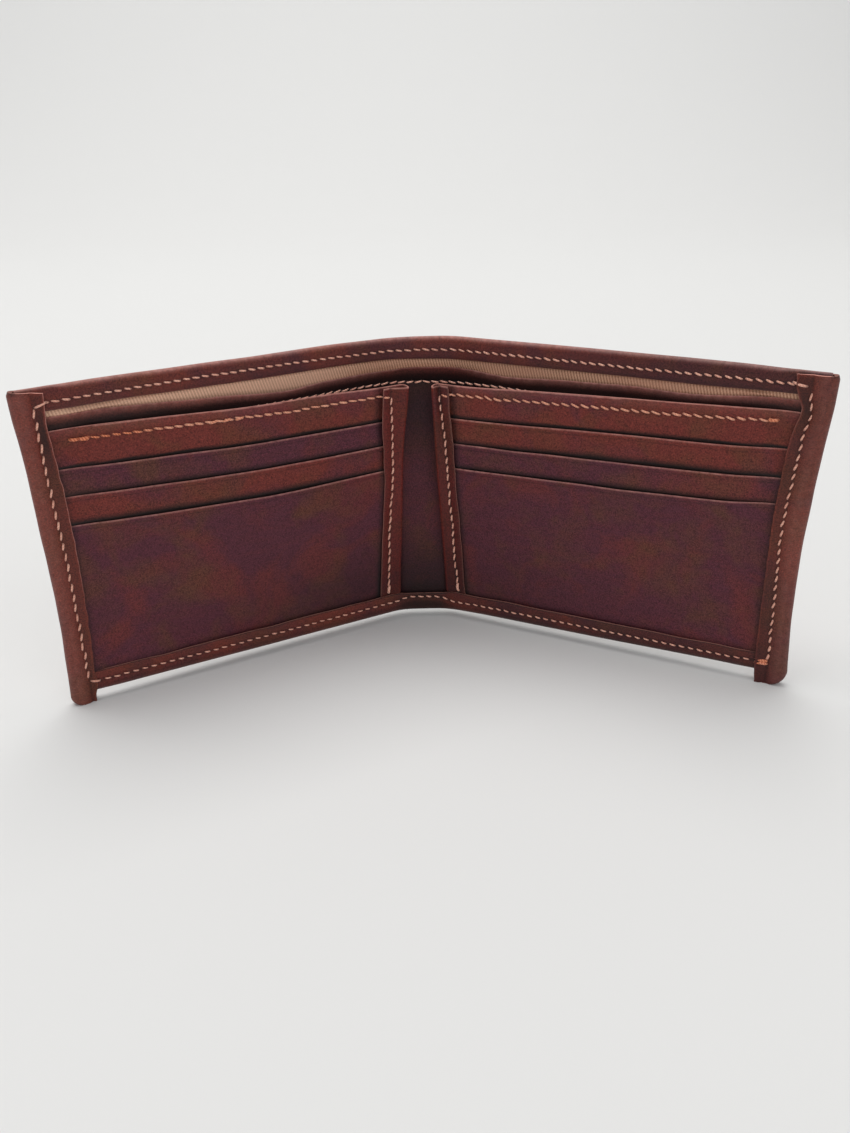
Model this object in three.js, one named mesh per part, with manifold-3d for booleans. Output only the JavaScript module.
// Bifold wallet standing open on its side flaps, cover spine to the rear and
// the card pockets facing the front.
//
// Frame: millimetres, +X to the right, +Y to the rear, +Z up.  The origin is
// the centre of the bounding box at the level of the feet.
//
// The wallet is three flat stacks of sheet: a narrow spine and one half on each
// side of it, turned about two vertical fold lines.  Every sheet is drawn in
// the coordinates of its own stack:
//   out    distance outward from the fold line (for the spine: from x = 0)
//   depth  distance inward from the outer face of the cover
//   z      height
// A layer is the range of depth a sheet fills, from its back to its front face.
import * as THREE from 'three';
import { mergeVertices } from 'three/addons/utils/BufferGeometryUtils.js';
import Module from 'manifold-3d';

const wasm = await Module();
wasm.setup();

// ---------------------------------------------------------- overall dimensions
const OPEN_ANGLE = THREE.MathUtils.degToRad(27.3);   // turn of each half from lying flat
const FOLD_X = 9.5;           // half the distance between the two fold lines
const FOLD_DEPTH = 0.5;       // depth of the fold lines: the middle of the cover

const HALF_LENGTH = 105.5;    // fold line to the outer edge, at the foot
const EDGE_FLARE = 1.5;       // extra length of a half at its top edge
const TOP_OUT = HALF_LENGTH + EDGE_FLARE;
const HEIGHT = 88.7;          // feet to the top edge
const STACK_DEPTH = 9.0;      // outer face of the cover to the front of the flaps
const CORNER_RADIUS = 4.5;    // rounded outer bottom corner
const CORNER_SEGMENTS = 6;

// Places the wallet so that y = 0 is midway between the back of the spine and
// the front top corners of the halves.
const FRONT_REACH = TOP_OUT * Math.sin(OPEN_ANGLE)
  + (STACK_DEPTH - FOLD_DEPTH) * Math.cos(OPEN_ANGLE);
const FOLD_Y = (FRONT_REACH - FOLD_DEPTH) / 2;

// ----------------------------------------------------------------------- cover
const COVER = { back: 0, front: 1.0 };
const COVER_FOLD_GAP = 0.8;   // fold line to the cover edge, on both sides of the fold
const WEB_THICKNESS = 1.0;    // leather where it turns round the side and foot
const TOP_WEB_THICKNESS = 0.9;

const FLAP = { back: 8.15, front: STACK_DEPTH };     // side flap and bottom hem
const FLAP_TOP_WIDTH = 9.6;

const TOP_HEM = { back: 1.55, front: 2.45 };
const TOP_HEM_BOTTOM = 82.8;  // raw lower edge
const TOP_HEM_FOLD_GAP = 2.5; // fold line to the hem, on both sides of the fold

const FOOT_HEM_BOTTOM = 3.1;  // only the side flaps and the cover behind them reach z = 0
const FOOT_HEM_TOP = 9.1;     // raw upper edge
const FOOT_HEM_START = 5.0;   // inner end on a half
const FOOT_HEM_OVERLAP = 1.5; // how far the hem runs into the side flap

const SPINE_HEM = { back: 3.75, front: 4.6 };        // bottom hem of the spine
const SPINE_HEM_HALF_WIDTH = 6.0;

// ---------------------------------------------------------------- inner sheets
const INNER_CLEARANCE = 0.3;  // gap between the inner sheets and the cover
const INNER_END = HALF_LENGTH - WEB_THICKNESS - INNER_CLEARANCE;
const INNER_BOTTOM = FOOT_HEM_BOTTOM + WEB_THICKNESS + INNER_CLEARANCE;

// Sheets found in the spine and in both halves; foldGap is the distance from
// the fold line to the sheet, on both sides of the fold.
const LINING = { back: 1.1, front: 1.4, foldGap: 1.3, top: 87.3 };
const DIVIDER = { back: 1.6, front: 2.1, foldGap: 2.0, top: 79.7 };
const WALL = { back: 3.1, front: 3.6, foldGap: 3.5, top: 80.9 };

// Card panel of a half: a backing folded forward into a strip, and pockets.
const BACKING = { back: 3.9, front: 4.4, start: 4.9, top: 79.0 };
const STRIP = { back: 8.15, front: 8.75, bottom: 9.4 };

const SLOT_GAP = 0.85;        // clear depth behind each card pocket
const POCKET_THICKNESS = 0.35;
const POCKET_START = 5.7;     // inner end
const POCKETS = [             // from back to front; top is at the inner end
  { level: 'upper', top: 67.8, bottom: 24.0 },
  { level: 'middle', top: 60.0, bottom: 16.0 },
  { level: 'lower', top: 52.4, bottom: INNER_BOTTOM },
];

// Where the two halves differ.
const HALVES = {
  left: {
    side: -1,
    flapEdge: 98.1,           // raw edge of the side flap, at the foot
    stripEdge: 9.9,           // raw edge of the strip
    stripSeam: 7.6,           // position of the seam along the strip
    slotRise: 0,              // how much a slot edge rises outward
  },
  right: { side: 1, flapEdge: 97.2, stripEdge: 8.6, stripSeam: 6.9, slotRise: 1.9 },
};

// ----------------------------------------------------------------------- seams
const THREAD = { width: 0.5, height: 0.3, clearance: 0.12 };

// Level seams: z is the height; startInset and endInset shorten the thread at
// the end near the fold and at the outer end.
const TOP_SEAM = { z: 85.2, startInset: 0.5, endInset: 1.2 };
const FOOT_SEAM = { z: 6.85, startInset: 0.4, endInset: 0.8 };
const WALL_SEAM = { z: 79.6, startInset: 0.4, endInset: 1.0 };
const CARD_SEAM = { z: 75.6, startInset: 0.6, end: 94.6 };

// Upright seams: insets from the ends of the flap and of the strip.
const FLAP_SEAM = { footOut: 100.9, topEdgeInset: 4.8, endInset: 1.6 };
const STRIP_SEAM = { bottomInset: 0.8, topInset: 1.0 };

// ------------------------------------------------------------------- materials
const FINISH = {
  cover: { color: 0x5b2a24, roughness: 0.5 },
  lining: { color: 0xb08350, roughness: 0.9 },
  divider: { color: 0x5f2f2c, roughness: 0.65 },
  wall: { color: 0x6a2f29, roughness: 0.6 },
  backing: { color: 0x6a2f29, roughness: 0.55 },
  pocket: { color: 0x6a2f29, roughness: 0.5 },
  tanThread: { color: 0xd79a86, roughness: 0.8 },
  orangeThread: { color: 0xd8845c, roughness: 0.8 },
};

function addPart(group, name, geometry, finish) {
  const material = new THREE.MeshStandardMaterial({ ...finish, metalness: 0 });
  const mesh = new THREE.Mesh(geometry, material);
  mesh.name = name;
  group.add(mesh);
}

// -------------------------------------------------------------------- outlines
const rect = (out0, z0, out1, z1) => [[out0, z0], [out1, z0], [out1, z1], [out0, z1]];
const band = (halfWidth, z0, z1) => rect(-halfWidth, z0, halfWidth, z1);

// The rounded outer bottom corner, from the foot round to the outer edge,
// drawn at a distance "inset" inside the outer edge.
function cornerArc(inset) {
  const radius = CORNER_RADIUS - inset;
  const points = [];
  for (let i = 0; i <= CORNER_SEGMENTS; i++) {
    const angle = -Math.PI / 2 + (Math.PI / 2) * (i / CORNER_SEGMENTS);
    points.push([
      HALF_LENGTH - CORNER_RADIUS + radius * Math.cos(angle),
      CORNER_RADIUS + radius * Math.sin(angle),
    ]);
  }
  return points;
}

// ---------------------------------------------------------------------- solids
// A flat sheet: an outline in (out, z) that fills one layer.
// side is +1 for the right half and the spine, -1 for the left half.
function sheet(side, outline, { back, front }) {
  const shape = new THREE.Shape(outline.map(([out, z]) => new THREE.Vector2(side * out, z)));
  const geometry = new THREE.ExtrudeGeometry(shape, {
    depth: front - back,
    bevelEnabled: false,
    steps: 1,
  });
  geometry.rotateX(Math.PI / 2);
  geometry.translate(0, FOLD_DEPTH - back, 0);
  return geometry;
}

// A straight thread between two (out, z) points, just in front of the leather
// face at the given depth.
function thread(side, [out0, z0], [out1, z1], faceDepth) {
  const run = out1 - out0;
  const rise = z1 - z0;
  const length = Math.hypot(run, rise);
  const offsetOut = -rise / length * THREAD.width / 2;
  const offsetZ = run / length * THREAD.width / 2;
  const outline = [
    [out0 - offsetOut, z0 - offsetZ],
    [out1 - offsetOut, z1 - offsetZ],
    [out1 + offsetOut, z1 + offsetZ],
    [out0 + offsetOut, z0 + offsetZ],
  ];
  const back = faceDepth + THREAD.clearance;
  return sheet(side, outline, { back, front: back + THREAD.height });
}

// Normals and texture coordinates are dropped so that the corners merge into
// a closed solid.
function solidOf(geometry) {
  geometry.deleteAttribute('normal');
  geometry.deleteAttribute('uv');
  const merged = mergeVertices(geometry, 1e-5);
  return new wasm.Manifold(new wasm.Mesh({
    numProp: 3,
    vertProperties: new Float32Array(merged.attributes.position.array),
    triVerts: new Uint32Array(merged.index.array),
  }));
}

function join(...geometries) {
  const solid = geometries.map(solidOf).reduce((sum, next) => sum.add(next));
  const mesh = solid.getMesh();
  const joined = new THREE.BufferGeometry();
  joined.setAttribute('position', new THREE.BufferAttribute(mesh.vertProperties, 3));
  joined.setIndex(new THREE.BufferAttribute(mesh.triVerts, 1));
  return joined;
}

// -------------------------------------------------------------------- one half
// The cover of a half, with its edges turned in at the side, foot and top.
function halfCover({ side, flapEdge }) {
  const wholeStack = { back: COVER.back, front: STACK_DEPTH };
  const webMiddle = HALF_LENGTH - WEB_THICKNESS / 2;
  const face = sheet(side, [
    [COVER_FOLD_GAP, FOOT_HEM_BOTTOM], [flapEdge, FOOT_HEM_BOTTOM], [flapEdge, 0],
    ...cornerArc(0),
    [TOP_OUT, HEIGHT], [COVER_FOLD_GAP, HEIGHT],
  ], COVER);
  const sideWeb = sheet(side, [
    ...cornerArc(0),
    [TOP_OUT, HEIGHT], [TOP_OUT - WEB_THICKNESS, HEIGHT],
    ...cornerArc(WEB_THICKNESS).reverse(),
  ], wholeStack);
  const flap = sheet(side, [
    [flapEdge, 0],
    ...cornerArc(0),
    [TOP_OUT, HEIGHT], [TOP_OUT - FLAP_TOP_WIDTH, HEIGHT],
  ], FLAP);
  const footWeb = sheet(
    side,
    rect(FOOT_HEM_START, FOOT_HEM_BOTTOM, webMiddle, FOOT_HEM_BOTTOM + WEB_THICKNESS),
    wholeStack,
  );
  const footHem = sheet(
    side,
    rect(FOOT_HEM_START, FOOT_HEM_BOTTOM, flapEdge + FOOT_HEM_OVERLAP, FOOT_HEM_TOP),
    FLAP,
  );
  const topWeb = sheet(
    side,
    rect(TOP_HEM_FOLD_GAP, HEIGHT - TOP_WEB_THICKNESS, TOP_OUT - WEB_THICKNESS / 2, HEIGHT),
    { back: COVER.back, front: TOP_HEM.front },
  );
  const topHem = sheet(side, rect(TOP_HEM_FOLD_GAP, TOP_HEM_BOTTOM, webMiddle, HEIGHT), TOP_HEM);
  return join(face, sideWeb, flap, footWeb, footHem, topWeb, topHem);
}

function throughSheet(side, { foldGap, top, back, front }) {
  return sheet(side, rect(foldGap, INNER_BOTTOM, INNER_END, top), { back, front });
}

// The backing sheet, its inner edge folded forward as a strip over the ends
// of the pockets.
function cardBacking({ side, stripEdge }) {
  const { back, front, start, top } = BACKING;
  return join(
    sheet(side, rect(start, INNER_BOTTOM, INNER_END, top), BACKING),
    sheet(side, rect(start, STRIP.bottom, start + front - back, top), {
      back,
      front: STRIP.front,
    }),
    sheet(side, rect(start, STRIP.bottom, stripEdge, top), STRIP),
  );
}

// index counts the pockets from back to front.
function cardPocket({ side, slotRise }, { top, bottom }, index) {
  const back = BACKING.front + SLOT_GAP + index * (POCKET_THICKNESS + SLOT_GAP);
  return sheet(side, [
    [POCKET_START, bottom], [INNER_END, bottom],
    [INNER_END, top + slotRise], [POCKET_START, top],
  ], { back, front: back + POCKET_THICKNESS });
}

function addHalfSeams(group, which) {
  const { side, flapEdge, stripEdge, stripSeam } = HALVES[which];
  const addSeam = (name, start, end, faceDepth, finish = FINISH.tanThread) => addPart(
    group, `thread_${name}_${which}`, thread(side, start, end, faceDepth), finish,
  );
  addSeam('top_hem',
    [TOP_HEM_FOLD_GAP + TOP_SEAM.startInset, TOP_SEAM.z],
    [flapEdge - TOP_SEAM.endInset, TOP_SEAM.z], TOP_HEM.front);
  addSeam('side_flap',
    [FLAP_SEAM.footOut, FLAP_SEAM.endInset],
    [TOP_OUT - FLAP_SEAM.topEdgeInset, HEIGHT - FLAP_SEAM.endInset], FLAP.front);
  addSeam('bottom_hem',
    [FOOT_HEM_START + FOOT_SEAM.startInset, FOOT_SEAM.z],
    [flapEdge - FOOT_SEAM.endInset, FOOT_SEAM.z], FLAP.front);
  addSeam('inner_wall',
    [WALL.foldGap + WALL_SEAM.startInset, WALL_SEAM.z],
    [INNER_END - WALL_SEAM.endInset, WALL_SEAM.z], WALL.front);
  addSeam('card_top',
    [stripEdge + CARD_SEAM.startInset, CARD_SEAM.z],
    [CARD_SEAM.end, CARD_SEAM.z], BACKING.front, FINISH.orangeThread);
  addSeam('strip',
    [stripSeam, STRIP.bottom + STRIP_SEAM.bottomInset],
    [stripSeam, BACKING.top - STRIP_SEAM.topInset], STRIP.front);
}

function half(which) {
  const own = HALVES[which];
  const { side } = own;
  const group = new THREE.Group();
  group.position.set(side * FOLD_X, FOLD_Y, 0);
  group.rotation.z = -side * OPEN_ANGLE;

  addPart(group, `cover_${which}`, halfCover(own), FINISH.cover);
  addPart(group, `lining_${which}`, throughSheet(side, LINING), FINISH.lining);
  addPart(group, `divider_${which}`, throughSheet(side, DIVIDER), FINISH.divider);
  addPart(group, `inner_wall_${which}`, throughSheet(side, WALL), FINISH.wall);
  addPart(group, `card_backing_${which}`, cardBacking(own), FINISH.backing);
  POCKETS.forEach((pocket, index) => {
    const name = `card_pocket_${pocket.level}_${which}`;
    addPart(group, name, cardPocket(own, pocket, index), FINISH.pocket);
  });
  addHalfSeams(group, which);
  return group;
}

// ----------------------------------------------------------------------- spine
function spineCover() {
  const hemHalfWidth = FOLD_X - TOP_HEM_FOLD_GAP;
  const footWebTop = FOOT_HEM_BOTTOM + WEB_THICKNESS;
  return join(
    sheet(1, band(FOLD_X - COVER_FOLD_GAP, FOOT_HEM_BOTTOM, HEIGHT), COVER),
    sheet(1, band(hemHalfWidth, HEIGHT - TOP_WEB_THICKNESS, HEIGHT), {
      back: COVER.back,
      front: TOP_HEM.front,
    }),
    sheet(1, band(hemHalfWidth, TOP_HEM_BOTTOM, HEIGHT), TOP_HEM),
    sheet(1, band(SPINE_HEM_HALF_WIDTH, FOOT_HEM_BOTTOM, footWebTop), {
      back: COVER.back,
      front: SPINE_HEM.front,
    }),
    sheet(1, band(SPINE_HEM_HALF_WIDTH, FOOT_HEM_BOTTOM, FOOT_HEM_TOP), SPINE_HEM),
  );
}

function spineSheet({ foldGap, top, back, front }) {
  return sheet(1, band(FOLD_X - foldGap, INNER_BOTTOM, top), { back, front });
}

function spine() {
  const group = new THREE.Group();
  group.position.set(0, FOLD_Y, 0);
  addPart(group, 'cover_spine', spineCover(), FINISH.cover);
  addPart(group, 'lining_spine', spineSheet(LINING), FINISH.lining);
  addPart(group, 'divider_spine', spineSheet(DIVIDER), FINISH.divider);
  addPart(group, 'inner_wall_spine', spineSheet(WALL), FINISH.wall);

  const addSeam = (name, halfWidth, { z, startInset }, faceDepth) => {
    const end = halfWidth - startInset;
    const geometry = thread(1, [-end, z], [end, z], faceDepth);
    addPart(group, `thread_${name}_spine`, geometry, FINISH.tanThread);
  };
  addSeam('top_hem', FOLD_X - TOP_HEM_FOLD_GAP, TOP_SEAM, TOP_HEM.front);
  addSeam('bottom_hem', SPINE_HEM_HALF_WIDTH, FOOT_SEAM, SPINE_HEM.front);
  addSeam('inner_wall', FOLD_X - WALL.foldGap, WALL_SEAM, WALL.front);
  return group;
}

const wallet = new THREE.Group();
wallet.add(spine(), half('left'), half('right'));

export default wallet;
